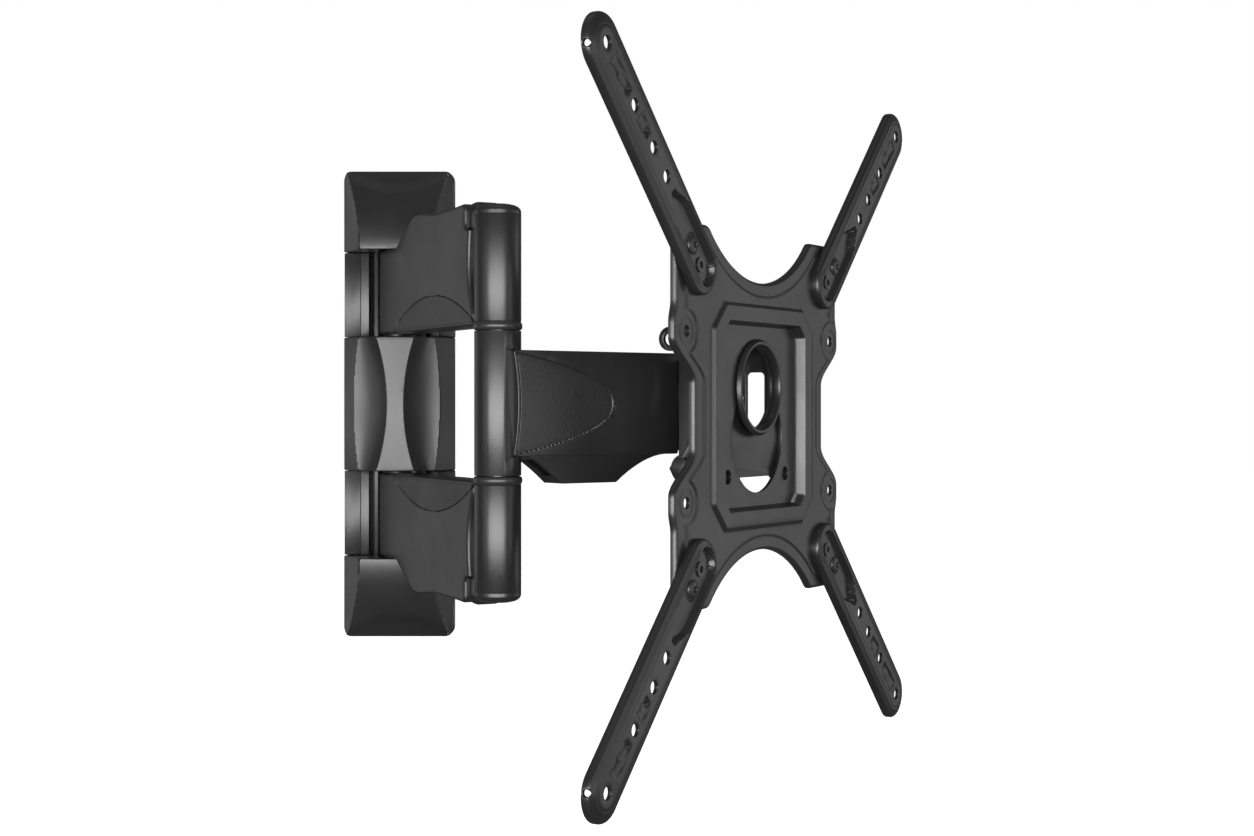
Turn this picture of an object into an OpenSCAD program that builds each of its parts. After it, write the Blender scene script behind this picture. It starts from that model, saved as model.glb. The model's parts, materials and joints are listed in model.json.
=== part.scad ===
// Full motion screen mount: a wall bracket, two stacked inner arms, one outer arm,
// a swivelling and tilting head, and a screen plate with four bolted arms.
// Millimetres. Origin at the middle of the wall face, wall at y = 0, room towards -y, z up.

/* [Wall bracket] */
// Width over the covers
wall_w = 76; // [74:0.5:80]
// Height over the covers
wall_h = 316; // [314:1:320]
// Depth of the covers at their sides
wall_d = 29.5; // [29.5:0.1:30]
// Depth of the covers at the middle ridge
ridge_d = 55; // [54.5:0.1:56]
// Height of the open band each inner arm swings in, from
gap_low = 45.2; // [45:0.1:45.4]
// and to
gap_high = 103.7; // [103.6:0.1:104.4]
// Thickness of the wall plate
plate_t = 3; // [2.5:0.1:3.2]
// Distance of the wall pivots from the wall
pivot_y = 42; // [42:0.1:43]

/* [Inner arms] */
// Length between the wall pivots and the elbow
inner_l = 171; // [169:1:185]
// Swing from straight out, as shown
inner_swing = 27.3; // [0:0.1:45]
// Thickness over the covers
inner_t = 24; // [23.6:0.1:24]
// Height of the inner edge above the middle plane
inner_low = 46.6; // [46.4:0.1:47]
// Height of the outer edge at the wall end
inner_high = 103; // [102.5:0.1:103.1]
// Height of the outer edge at the elbow
inner_top = 120.5; // [118:0.5:121]

/* [Elbow] */
// Diameter of the elbow post
post_d = 28; // [27:0.5:29]
// Half height of the elbow post
post_h = 118.2; // [118:0.1:119]
// Diameter of the spindle through the elbow
spindle_d = 14; // [12:1:15]

/* [Outer arm] */
// Length between the elbow and the head pivot
outer_l = 144; // [142:1:160]
// Direction seen from above, from the wall line
outer_dir = 36.5; // [20:0.5:60]
// Half height of the arm
outer_h = 31.6; // [31:0.1:32]
// Depth of the cable cover under the arm
cable_d = 17; // [12:0.5:18]

/* [Head] */
// Direction the screen faces, from the wall line
head_dir = -30.6; // [-45:0.1:0]
// Distance from the head pivot to the faces of the screen arms
head_reach = 60; // [60:0.5:66]
// Half distance between the outsides of the tilt cheeks
cheek_u = 34.6; // [34.6:0.1:36]
// Tilt axis, ahead of the head pivot
tilt_x = 16; // [16:0.5:18]
// Tilt axis, height
tilt_z = -40.5; // [-42:0.1:-40.5]

/* [Screen plate] */
// Half width and half height of the centre plate
plate_half = 114; // [112:1:116]
// Height of the plate's middle
plate_z = -8.1; // [-10:0.1:-6]
// Half pitch of the largest screen hole square
vesa_far = 200; // [200:1:200]
// Half pitch of the middle screen hole square
vesa_mid = 150; // [150:1:150]
// Width of each screen arm
arm_w = 33.5; // [32:0.5:34]
// Diameter of the screen bolt holes
screen_hole = 7.4; // [6.6:0.1:8]
// Height of the levelling collar above the plate's middle
collar_v = 18.2; // [17:0.1:19]

/* [Hidden] */
$fn = 64;

black = [0.10, 0.10, 0.11];
plastic = [0.16, 0.16, 0.17];
steel = [0.45, 0.45, 0.47];
zinc = [0.62, 0.62, 0.60];
nylon = [0.30, 0.30, 0.31];

wall = 2;                  // thickness of the moulded covers
clear = 0.4;               // gap between parts that turn past each other
channel_x = 14.6;          // inner half width of the pivot channel
channel_t = 3;
lip_x = 21;                // inner edge of the side rails
plate_x = 31.5;            // half width of the steel wall plate
cover_back = 3;            // covers are this much narrower at the wall
ear_t = 3;
ear_in = gap_low - wall - 0.4 - ear_t;     // lower face of the inner ear
ear_out = gap_high + wall + 0.2;           // lower face of the outer ear
barrel_low = ear_in + ear_t + clear;
barrel_high = ear_out - clear;
barrel_d = 19;
pin_d = 10;
lag_z = 127;

inner_dir = inner_swing - 90;
elbow = [inner_l * cos(inner_dir), -pivot_y + inner_l * sin(inner_dir)];
head = elbow + outer_l * [cos(outer_dir), sin(outer_dir)];

ring_low = 43.4;           // the rings between the barrel and the posts
ring_high = 48.6;
barrel_h = 43;
flare_start = 26;
flare_end = 60;
cover_end = 156;           // where the inner arm covers stop, short of the post
hook_s = 153.5;            // round upper end of the arm frame, beside the post
hook_y = 4.6;
hook_r = 7.2;
arc_mid = 94;               // highest point of the inlay arch on the inner arms
arc_reach = 71;
arc_rise = 20;

outer_front = 13.5;        // outer arm, from its middle plane to the front face
outer_back = 12.5;
cover_start = 2.6;
bow = 3.3;
bow_r = (pow(outer_h, 2) + pow(bow, 2)) / (2 * bow);
outer_end = 126;
inlay_start = 5;
cable_end = 119;
inlay_tip = 75;

sheet = 2.5;
arm_face = 1.25;           // front of the screen arms, from their hole plane
plate_back = -7.75;        // back of the centre plate
floor_front = -9.9;        // sunk floor inside the raised frame
floor_back = floor_front - sheet;
hanger_front = floor_back - 0.45;
hanger_back = hanger_front - 2.8;
bracket_front = hanger_back;
bracket_back = bracket_front - 3;
screw_u = 40;              // screws that clamp the levelled plate, and the holes to reach them
screw_v = -37;
access_r = 4.3;
bolt_t = 100;              // screen arm bolt, from the plate's middle, along u and v
rivet_t = 89;

// ---------- placing ----------
module at_inner() { translate([0, -pivot_y, 0]) rotate([0, 0, inner_dir]) children(); }
module at_elbow() { translate([elbow[0], elbow[1], 0]) children(); }
module at_outer() { at_elbow() rotate([0, 0, outer_dir]) children(); }
module at_head() { translate([head[0], head[1], 0]) rotate([0, 0, head_dir]) children(); }
module at_plate() { at_head() translate([head_reach, 0, plate_z]) children(); }
module both_z() { children(); mirror([0, 0, 1]) children(); }
module both_y() { children(); mirror([0, 1, 0]) children(); }

// an outline in (x, z), made solid from y0 to y1
module along_y(y0, y1) { translate([0, y1, 0]) rotate([90, 0, 0]) linear_extrude(y1 - y0) children(); }
// an outline in (y, z), made solid from x0 to x1
module along_x(x0, x1) { translate([x0, 0, 0]) rotate([90, 0, 90]) linear_extrude(x1 - x0) children(); }
module tube(od, id, h) { difference() { cylinder(d = od, h = h); translate([0, 0, -1]) cylinder(d = id, h = h + 2); } }

module rounded(w, h, r) {
    square([w - 2 * r, h], center = true);
    square([w, h - 2 * r], center = true);
    for (x = [-1, 1], y = [-1, 1])
        translate([x * (w / 2 - r), y * (h / 2 - r)]) circle(r);
}

module stadium(x0, x1, r) {
    translate([x0, -r]) square([x1 - x0, 2 * r]);
    translate([x0, 0]) circle(r);
    translate([x1, 0]) circle(r);
}

// ---------- wall bracket ----------
module wall_plate() color(steel) difference() {
    along_y(-plate_t, 0) rounded(2 * plate_x, wall_h - 8, 4);
    for (z = [-lag_z, lag_z])
        translate([0, 1, z]) rotate([90, 0, 0]) cylinder(d = 9, h = plate_t + 2);
}

// one pressed rail stands beside each open band, on each side
module side_rails() color(steel)
    for (side = [-1, 1], level = [-1, 1])
        scale([side, 1, level]) translate([0, 0, gap_low + 0.5]) linear_extrude(gap_high - gap_low - 1)
            polygon([
                [24, -plate_t], [wall_w / 2 - cover_back - 0.4, -plate_t],
                [wall_w / 2, -wall_d + 0.7], [27, -wall_d + 0.7],
                [27, -wall_d], [lip_x, -wall_d], [lip_x, -wall_d + 2.2],
                [wall_w / 2 - 2.6, -wall_d + 2.9], [wall_w / 2 - cover_back - 2.4, -plate_t - 2],
                [24, -plate_t - 2]
            ]);

module pivot_channel() color(steel) difference() {
    translate([0, 0, -118]) linear_extrude(236)
        polygon([
            [-channel_x - channel_t, -plate_t], [channel_x + channel_t, -plate_t],
            [channel_x + channel_t, -wall_d], [channel_x, -wall_d],
            [channel_x, -plate_t - channel_t], [-channel_x, -plate_t - channel_t],
            [-channel_x, -wall_d], [-channel_x - channel_t, -wall_d]
        ]);
    for (z = [-75, 0, 75])
        translate([0, 0, z]) rotate([90, 0, 0]) cylinder(d = 12, h = 20);
}

module ear() difference() {
    union() {
        linear_extrude(ear_t) translate([-channel_x, -pivot_y + 8]) square([2 * channel_x, pivot_y - 8 - plate_t - channel_t]);
        linear_extrude(ear_t) translate([-9.5, -pivot_y]) square([19, 9]);
        translate([0, -pivot_y, 0]) cylinder(d = 19, h = ear_t);
    }
    translate([0, -pivot_y, -1]) cylinder(d = pin_d, h = ear_t + 2);
}

module pivot_ears() color(steel) both_z() {
    translate([0, 0, ear_in]) ear();
    translate([0, 0, ear_out]) ear();
}

// section of the covers, seen from above, drawn in by the wall thickness when e > 0
module cover_section(e) {
    back = e > 0 ? 1 : 0;
    polygon([
        [-wall_w / 2 + cover_back + e, back], [wall_w / 2 - cover_back - e, back],
        [wall_w / 2 - e, -wall_d + e / 2], [22.5 - e * 0.6, -ridge_d + e],
        [-22.5 + e * 0.6, -ridge_d + e], [-wall_w / 2 + e, -wall_d + e / 2]
    ]);
}

// the ridge leans back towards the end of the bracket
module cap_side(e) {
    back = e > 0 ? 1 : 0;
    polygon([
        [back, gap_high + e], [-ridge_d + e, gap_high + e], [-ridge_d + e, gap_high + 8],
        [-40 + e, wall_h / 2 - 1.5 - e], [-38 + e, wall_h / 2 - e], [back, wall_h / 2 - e]
    ]);
}

module cap_solid(e) intersection() {
    translate([0, 0, gap_high - 1]) linear_extrude(wall_h / 2 - gap_high + 2) cover_section(e);
    along_x(-wall_w / 2 - 1, wall_w / 2 + 1) cap_side(e);
    along_y(-ridge_d - 1, 2) rounded(wall_w - 2 * e, wall_h - 2 * e, 5.5);
}

module cap() difference() {
    cap_solid(0);
    cap_solid(wall);
    translate([0, -pivot_y, gap_high - 1]) cylinder(d = barrel_d + 1.4, h = wall + 2);
    translate([-channel_x - channel_t - 0.3, -wall_d - 0.5, gap_high - 1])
        cube([2 * (channel_x + channel_t) + 0.6, wall_d + 2, wall + 2]);
    translate([-plate_x - 0.3, -plate_t - 0.3, gap_high - 1]) cube([2 * plate_x + 0.6, plate_t + 2, wall + 2]);
}

module top_cap() color(plastic) cap();
module bottom_cap() color(plastic) mirror([0, 0, 1]) cap();

module centre_section(e) {
    back = e > 0 ? 1 : 0;
    polygon([
        [-wall_w / 2 + cover_back + e, back], [wall_w / 2 - cover_back - e, back],
        [wall_w / 2 - e, -wall_d + e / 2], [28.7 - e, -48 + e], [10 - e / 2, -ridge_d + e],
        [-10 + e / 2, -ridge_d + e], [-28.7 + e, -48 + e], [-wall_w / 2 + e, -wall_d + e / 2]
    ]);
}

module centre_cover() color(plastic) difference() {
    translate([0, 0, -gap_low]) linear_extrude(2 * gap_low) centre_section(0);
    translate([0, 0, -gap_low + wall]) linear_extrude(2 * (gap_low - wall)) centre_section(wall);
    translate([0, -pivot_y, -gap_low - 1]) cylinder(d = barrel_d + 1.4, h = 2 * gap_low + 2);
    translate([-channel_x - channel_t - 0.3, -wall_d - 0.5, -gap_low - 1])
        cube([2 * (channel_x + channel_t) + 0.6, wall_d + 2, 2 * gap_low + 2]);
    translate([-plate_x - 0.3, -plate_t - 0.3, -gap_low - 1])
        cube([2 * plate_x + 0.6, plate_t + 2, 2 * gap_low + 2]);
    both_z() translate([13.4, -70, gap_low - 1.7]) cube([6.2, 100, 3]);
}

module wall_pivot_pins() color(zinc) both_z() translate([0, -pivot_y, 0]) {
    translate([0, 0, ear_in - 3.5]) cylinder(d = pin_d, h = ear_out + ear_t - ear_in + 3.5);
    translate([0, 0, ear_out + ear_t]) cylinder(d = 16, h = 3.5);
}

module pivot_clips() color(zinc) both_z()
    translate([0, -pivot_y, ear_in - 1.6]) tube(15, pin_d, 1.6);

// ---------- inner arms ----------
// side outline of the upper inner arm in (s, z), drawn in by e
module inner_outline(e, s0, s1) polygon([
    [s0 + e, inner_low + e], [s1, inner_low + e], [s1, inner_top - e],
    [flare_end + e * 0.3, inner_top - e], [flare_start + e * 0.3, inner_high - e],
    [s0 + e, inner_high - e]
]);

// the wall end is round about the pivot
module inner_slab(e, y0, y1, s1) {
    r = inner_t / 2 - e;
    along_y(y0, y1) inner_outline(e, -e, s1);
    intersection() {
        translate([0, 0, inner_low + e]) cylinder(r = r, h = inner_high - inner_low - 2 * e);
        translate([-20, y0, 0]) cube([21, y1 - y0, 200]);
    }
}

// drawn on the right half, y > 0
module inner_shell() difference() {
    intersection() {
        inner_slab(0, 0.1, inner_t / 2, cover_end + 9);
        along_y(-20, 20) end_curve(0);
    }
    inner_slab(wall, -1, inner_t / 2 - wall, cover_end + 12);
    translate([0, 0, 40]) cylinder(d = barrel_d + 1, h = 70);
    translate([inner_l, 0, 30]) cylinder(d = post_d + 1.6, h = 100);
    arch(inner_t / 2 - 1.1, inner_t / 2 + 1, 0);
    along_y(-20, 20) hook_notch();
}

// arch shaped panel that is set into each cover
module arch(y0, y1, gap) along_y(y0, y1) intersection() {
    polygon([
        for (i = [-12 : 12]) [
            arc_mid + i / 12 * (arc_reach - 2.5 * gap),
            inner_low + 1.5 + gap + (arc_rise - 2 * gap) * (1 - pow(i / 12, 2))
        ]
    ]);
    end_curve(gap > 0 ? 6 : -2);
}

// area up to the bowed edge beside the post, less a margin
module end_curve(less) polygon([
    [-20, inner_low - 2],
    for (i = [0 : 14])
        let (t = i / 14)
        [cover_end - 3 - less + (t < 0.5 ? 12 * pow(1 - 2 * t, 2) : 30 * pow(t - 0.5, 2)),
         inner_low - 2 + t * 78],
    [-20, inner_low + 76]
]);

// opening in the upper corner of the covers for the round end of the frame
module hook_notch() offset(4) translate([152.3, 109]) square([40, 40]);

module upper_arm_right_cover() color(plastic) at_inner() inner_shell();
module upper_arm_left_cover() color(plastic) at_inner() mirror([0, 1, 0]) inner_shell();
module lower_arm_right_cover() color(plastic) mirror([0, 0, 1]) at_inner() inner_shell();
module lower_arm_left_cover() color(plastic) mirror([0, 0, 1]) at_inner() mirror([0, 1, 0]) inner_shell();

module inlays() at_inner() both_y() arch(inner_t / 2 - 1.1, inner_t / 2, 0.5);
module upper_arm_inlays() color(black) inlays();
module lower_arm_inlays() color(black) mirror([0, 0, 1]) inlays();

// web, two flanges, a barrel for the wall pivot and a knuckle for the post
module inner_frame() at_inner() difference() {
    union() {
        along_y(-2.5, 2.5) inner_outline(wall + 0.5, 0, inner_l - 6);
        along_y(-9, 9) difference() {
            inner_outline(wall + 0.5, 6, inner_l - 6);
            inner_outline(wall + 3.5, 0, inner_l);
        }
        translate([0, 0, barrel_low]) cylinder(d = barrel_d, h = barrel_high - barrel_low);
        along_y(-9.5, 9.5) difference() {
            union() {
                translate([inner_l - 20, inner_low + wall + 0.5]) square([14, 64]);
                translate([inner_l - 20, inner_top - 18]) square([14, 8]);
            }
            translate([inner_l - 6, 0]) square([20, 200]);
        }
        hull() for (y = [-hook_y, hook_y]) translate([hook_s, y, 0]) {
            translate([0, 0, 105.6]) cylinder(r = hook_r, h = 121.4 - hook_r - 105.6);
            translate([0, 0, 121.4 - hook_r]) sphere(r = hook_r, $fn = 48);
        }
    }
    translate([0, 0, barrel_low - 1]) cylinder(d = 13, h = barrel_high - barrel_low + 2);
    translate([inner_l, 0, 30]) cylinder(d = post_d, h = 100);
    for (s = [52, 88, 124])
        translate([s, 10, 84]) rotate([90, 0, 0]) cylinder(d = 26, h = 20);
}

module upper_arm_frame() color(black) inner_frame();
module lower_arm_frame() color(black) mirror([0, 0, 1]) inner_frame();

module arm_bushes() color(nylon) both_z() at_inner() {
    translate([0, 0, barrel_low]) tube(13, pin_d + 0.1, 14);
    translate([0, 0, barrel_high - 14]) tube(13, pin_d + 0.1, 14);
}

// ---------- elbow ----------
module upper_post() color(black) at_elbow()
    translate([0, 0, ring_high]) tube(post_d, spindle_d, post_h - 6 - ring_high);
module lower_post() color(black) mirror([0, 0, 1]) at_elbow()
    translate([0, 0, ring_high]) tube(post_d, spindle_d, post_h - 6 - ring_high);

module post_caps() color(plastic) both_z() at_elbow() translate([0, 0, post_h - 6])
    rotate_extrude() polygon([
        [0, 0.6], [7, 0.6], [7, 0], [post_d / 2, 0], [post_d / 2, 2.0],
        [post_d / 2 - 0.5, 3.3], [post_d / 2 - 1.6, 4.5], [post_d / 2 - 3.4, 5.4],
        [post_d / 2 - 6, 6], [0, 6]
    ]);

module elbow_spindle() color(zinc) at_elbow()
    translate([0, 0, -post_h + 6]) cylinder(d = spindle_d, h = 2 * post_h - 12);

// slightly swollen rings between the barrel and the posts
module elbow_rings() color(nylon) both_z() at_elbow()
    rotate_extrude() polygon([
        [spindle_d / 2, ring_low], [post_d / 2 - 0.3, ring_low],
        [post_d / 2 + 0.7, ring_low + 1.4], [post_d / 2 + 0.7, ring_high - 2],
        [post_d / 2 - 0.3, ring_high], [spindle_d / 2, ring_high]
    ]);

// barrel with flat strips that run up to the bowed edges of the covers
module elbow_barrel() color(black) at_outer() difference() {
    union() {
        translate([0, 0, -barrel_h]) cylinder(d = post_d, h = 2 * barrel_h);
        translate([0, -outer_front, -outer_h + 0.2]) cube([9, 12, 2 * outer_h - 0.4]);
    }
    translate([-8, -outer_front - 5, -outer_h - 0.3]) cube([30, 5, 2 * outer_h + 0.6]);
    barrel_seat(outer_front);
    mirror([0, 1, 0]) barrel_seat(outer_back);
    translate([0, 0, -50]) cylinder(d = spindle_d + 4, h = 100);
}

// where the shell of a cover lies over the barrel
module barrel_seat(y_face) difference() {
    translate([0, -y_face - 5, -outer_h - 0.3])
        cube([30, 5 + wall + 0.3, 2 * outer_h + 0.6]);
    along_y(-30, 0) translate([cover_start + bow - bow_r, 0]) circle(bow_r - 0.3, $fn = 128);
}

module elbow_bushes() color(nylon) both_z() at_elbow()
    translate([0, 0, barrel_h - 20]) tube(spindle_d + 4, spindle_d + 0.1, 20);

// ---------- outer arm ----------
module outer_arm_beam() color(black) at_outer() difference() {
    translate([8, -9.5, -27]) cube([outer_l - 14, 18, 54]);
    translate([0, -6.5, -24]) cube([outer_l, 12, 48]);
    translate([0, 0, -50]) cylinder(d = post_d, h = 100);
    translate([outer_l, 0, -50]) cylinder(d = 26, h = 100);
    // the flanges stop short of the swivelling yoke
    both_z() translate([118, -20, 23.9]) cube([40, 40, 10]);
    for (s = [60, 100])
        translate([s, -20, 0]) rotate([-90, 0, 0]) cylinder(d = 7, h = 40);
}

// half of the arm's cover; its elbow edge is bowed around the barrel
module outer_shell(y_face) difference() {
    translate([cover_start, 0.1, -outer_h]) cube([outer_end - cover_start, y_face - 0.1, 2 * outer_h]);
    translate([0, -1, -outer_h + wall]) cube([outer_l, y_face - wall + 1, 2 * (outer_h - wall)]);
    translate([0, 0, -50]) intersection() {
        cylinder(d = post_d + 1.2, h = 100);
        translate([-50, -50, 0]) cube([100, 50 + y_face - wall, 100]);
    }
    along_y(-1, y_face + 1) translate([cover_start + bow - bow_r, 0]) circle(bow_r, $fn = 128);
}

module outer_arm_back_cover() color(plastic) at_outer() outer_shell(outer_back);

module outer_arm_front_cover() color(plastic) at_outer() mirror([0, 1, 0]) difference() {
    outer_shell(outer_front);
    outer_arch(outer_front - 1.1, outer_front + 1, 0);
}

// panel that narrows from the bowed edge to a round tip
module outer_arch(y0, y1, gap) along_y(y0, y1) difference() {
    polygon([
        for (i = [-14 : 14]) [
            inlay_start + (inlay_tip - inlay_start - 2 * gap) * (1 - pow(abs(i) / 14, 2.3)),
            i / 14 * (outer_h - 1.2 - gap)
        ]
    ]);
    translate([cover_start + bow - bow_r, 0]) circle(bow_r + 1.8 + gap, $fn = 128);
}

module outer_arm_inlay() color(black) at_outer() mirror([0, 1, 0])
    outer_arch(outer_front - 1.1, outer_front, 0.5);

module cable_outline(e) polygon([
    for (i = [0 : 8]) let (t = i / 8) [15 + 25 * t + e * (2 - 1.5 * t), -outer_h - (cable_d - e) * pow(t, 1.3)],
    for (i = [8 : -1 : 0]) let (t = i / 8)
        [cable_end - e * (3 - 2.6 * t) - (cable_end - 80) * t, -outer_h - (cable_d - e) * pow(t, 1.8)]
]);

// open towards both ends so that cables run through it
module cable_cover() color(plastic) at_outer() difference() {
    along_y(-10, 10) cable_outline(0);
    along_y(-8, 8) translate([0, -0.1]) difference() {
        cable_outline(wall);
        translate([0, -outer_h - 2.2]) square([200, 10]);
    }
    translate([10, -6, -outer_h - 12]) cube([100, 12, 9.5]);
}

module head_barrel() color(black) at_head() translate([0, 0, -24]) tube(26, 16, 48);

module head_bushes() color(nylon) both_z() at_head() translate([0, 0, 10]) tube(16, 12.1, 14);

// ---------- swivel head ----------
yoke_z = 24.4;
yoke_t = 3;
ear_u = 30;

module head_pin() color(zinc) at_head() {
    translate([0, 0, -yoke_z - yoke_t - 2.5]) cylinder(d = 12, h = 2 * (yoke_z + yoke_t) + 2.5);
    translate([0, 0, yoke_z + yoke_t]) cylinder(d = 19, h = 3.5, $fn = 6);
}

module head_pin_nut() color(zinc) at_head() difference() {
    translate([0, 0, -yoke_z - yoke_t - 2.5]) cylinder(d = 19, h = 2.5, $fn = 6);
    translate([0, 0, -40]) cylinder(d = 12, h = 30);
}

// plates above and below the barrel, a web in front of it and two ears for the tilt bolt
module head_yoke() color(black) at_head() difference() {
    union() {
        both_z() translate([0, 0, yoke_z]) linear_extrude(yoke_t) {
            circle(13.5);
            translate([0, -13.5]) square([19, 27]);
        }
        translate([16, -ear_u, -yoke_z - yoke_t]) cube([3, 2 * ear_u, 2 * (yoke_z + yoke_t)]);
        both_y() along_y(ear_u - 3, ear_u) {
            translate([10, -30]) square([12, 57.4]);
            translate([tilt_x, tilt_z]) circle(8.5);
            translate([tilt_x - 6, tilt_z]) square([12, 12]);
        }
    }
    translate([0, 0, -40]) cylinder(d = 12, h = 80);
    translate([tilt_x, -50, tilt_z]) rotate([-90, 0, 0]) cylinder(d = 8, h = 100);
    translate([10, -11, -14]) cube([12, 22, 28]);
}

module tilt_bolt() color(zinc) at_head() translate([tilt_x, 0, tilt_z]) rotate([-90, 0, 0]) {
    translate([0, 0, -cheek_u - clear]) cylinder(d = 8, h = 2 * (cheek_u + clear) + 8);
    translate([0, 0, -cheek_u - clear - 4.5]) cylinder(d = 15, h = 4.5, $fn = 6);
}

module tilt_nut() color(zinc) at_head() difference() {
    translate([tilt_x, cheek_u + clear, tilt_z]) rotate([-90, 0, 0]) cylinder(d = 15, h = 6, $fn = 6);
    translate([tilt_x, 0, tilt_z]) rotate([-90, 0, 0]) cylinder(d = 8, h = 60);
}

// ---------- tilting bracket ----------
lug = [6, 40.4];           // open lug at the top of each cheek
lug_r = 7.6;
x_front = head_reach + bracket_front;
x_back = head_reach + bracket_back;
collar_z = plate_z + collar_v;

module cheek() difference() {
    union() {
        translate([24, -44]) square([x_front - 24, 92]);
        translate([lug[0], lug[1]]) circle(lug_r);
        polygon([
            [lug[0], lug[1] + lug_r], [26, 48], [26, 2], [19.5, 9], [18.5, 24], [lug[0] + 5, lug[1] - 5.7]
        ]);
        translate([tilt_x, tilt_z]) circle(9);
        polygon([
            [tilt_x, tilt_z - 9], [26, -44], [26, -14], [19, -22], [17, -30], [tilt_x - 6, tilt_z + 6.7]
        ]);
    }
    translate([lug[0], lug[1]]) circle(4.1);
}

module tilt_bracket() color(black) at_head() difference() {
    union() {
        both_y() along_y(cheek_u - 3, cheek_u) cheek();
        translate([x_back, -cheek_u, -44]) cube([3, 2 * cheek_u, 92]);
    }
    translate([x_back - 1, 0, collar_z]) rotate([0, 90, 0]) cylinder(r = 31, h = 6);
    translate([tilt_x, -50, tilt_z]) rotate([-90, 0, 0]) cylinder(d = 8.1, h = 100);
    along_y(-50, 50) translate([32.6, 2.2]) rounded(13, 36, 3);
}

module tilt_washers() color(zinc) at_head() both_y()
    translate([tilt_x, ear_u + 0.35, tilt_z]) rotate([-90, 0, 0]) tube(17, 8.1, cheek_u - 3 - ear_u - 0.35);

// carries the collar and the clamping screws
module hanger_plate() color(black) at_plate() difference() {
    along_x(hanger_back, hanger_front) {
        translate([0, 6]) rounded(92, 88, 9);
        for (u = [-screw_u, screw_u]) translate([u, screw_v]) circle(8.5);
    }
    translate([hanger_back - 1, 0, collar_v]) rotate([0, 90, 0]) cylinder(r = 26.2, h = 10);
    for (u = [-screw_u, screw_u])
        translate([hanger_back - 1, u, screw_v]) rotate([0, 90, 0]) cylinder(d = 6, h = 10);
}

module level_collar() color(black) at_plate() translate([hanger_front, 0, collar_v]) rotate([0, 90, 0])
    difference() {
        rotate_extrude($fn = 96) polygon([
            [26.2, 0], [27.9, 0], [27.9, floor_front - hanger_front + 0.35],
            [30.3, floor_front - hanger_front + 0.35], [30.3, floor_front - hanger_front + 1.4],
            [29.4, floor_front - hanger_front + 2.1], [28.8, floor_front - hanger_front + 3.5],
            [28.2, floor_front - hanger_front + 3.4], [26.9, floor_front - hanger_front + 3.4],
            [26.2, floor_front - hanger_front + 2.4]
        ]);
    }

// clamping screws, with a hexagon socket towards the screen
module level_screws() color(zinc) at_plate() for (u = [-screw_u, screw_u])
    translate([hanger_back - 5, u, screw_v]) rotate([0, 90, 0]) difference() {
        cylinder(d = 6, h = 5 + hanger_front - hanger_back);
        translate([0, 0, 4.4]) cylinder(d = 3.4, h = 10, $fn = 6);
    }

// ---------- screen plate ----------
frame_u = 68.6;
frame_v = 68;
inner_u = 54.4;
inner_v = 57;
ridge_front = -3.1;
top_r = 96.7;              // radius of the scoops in the top and bottom edges
top_v = 83.5;              // what the scoops leave at the middle
notch_u = 89;              // half width at the waist
notch_v = 46;              // half height of the waist, with its slopes
flat_v = 20;               // half height of its straight part

module chamfered(u, v, c) polygon([
    [-u, -v + c], [-u + c, -v], [u - c, -v], [u, -v + c],
    [u, v - c], [u - c, v], [-u + c, v], [-u, v - c]
]);

function smooth(t) = t <= 0 ? 0 : t * t * (3 - 2 * t);

// scooped top and bottom, and a waist on each side
module plate_outline() difference() {
    rounded(2 * plate_half, 2 * plate_half, 15);
    for (k = [-1, 1]) {
        translate([0, k * (top_v + top_r)]) circle(top_r, $fn = 128);
        scale([k, 1]) polygon([
            [plate_half + 5, notch_v], [plate_half + 5, -notch_v],
            for (i = [-12 : 12]) [
                notch_u + (plate_half - notch_u) * smooth((abs(i) / 12 * notch_v - flat_v) / (notch_v - flat_v)),
                i / 12 * notch_v
            ]
        ]);
    }
}

module keyhole() {
    translate([0, collar_v]) circle(28.2);
    translate([0, -13.2]) circle(34.5);
}

module screen_plate() color(black) at_plate() difference() {
    union() {
        along_x(plate_back, plate_back + sheet) difference() {
            plate_outline();
            chamfered(inner_u, inner_v, 6);
        }
        along_x(plate_back, ridge_front) difference() {
            chamfered(frame_u, frame_v, 15);
            chamfered(inner_u, inner_v, 6);
        }
        along_x(floor_back, floor_front) chamfered(inner_u + 2.5, inner_v + 2.5, 7);
        along_x(floor_front - 0.5, plate_back + 1) difference() {
            chamfered(inner_u + 2.5, inner_v + 2.5, 7);
            chamfered(inner_u, inner_v, 6);
        }
    }
    along_x(floor_back - 1, floor_front + 1) {
        keyhole();
        for (u = [-screw_u, screw_u]) translate([u, screw_v]) circle(access_r);
    }
    for (u = [-100, 100], v = [-50, 50])
        translate([-20, u, v]) rotate([0, 90, 0]) cylinder(d = 6.6, h = 30);
    for (u = [-1, 1], v = [-1, 1]) {
        translate([-20, u * bolt_t, v * bolt_t]) rotate([0, 90, 0]) cylinder(d = 6, h = 30);
        translate([-20, u * rivet_t, v * rivet_t]) rotate([0, 90, 0]) cylinder(d = 6, h = 30);
    }
}

// ---------- screen arms ----------
diag = sqrt(2);
arm_in = 76 * diag + arm_w / 2;
arm_out = vesa_far * diag;
arm_back = plate_back + sheet;

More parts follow.
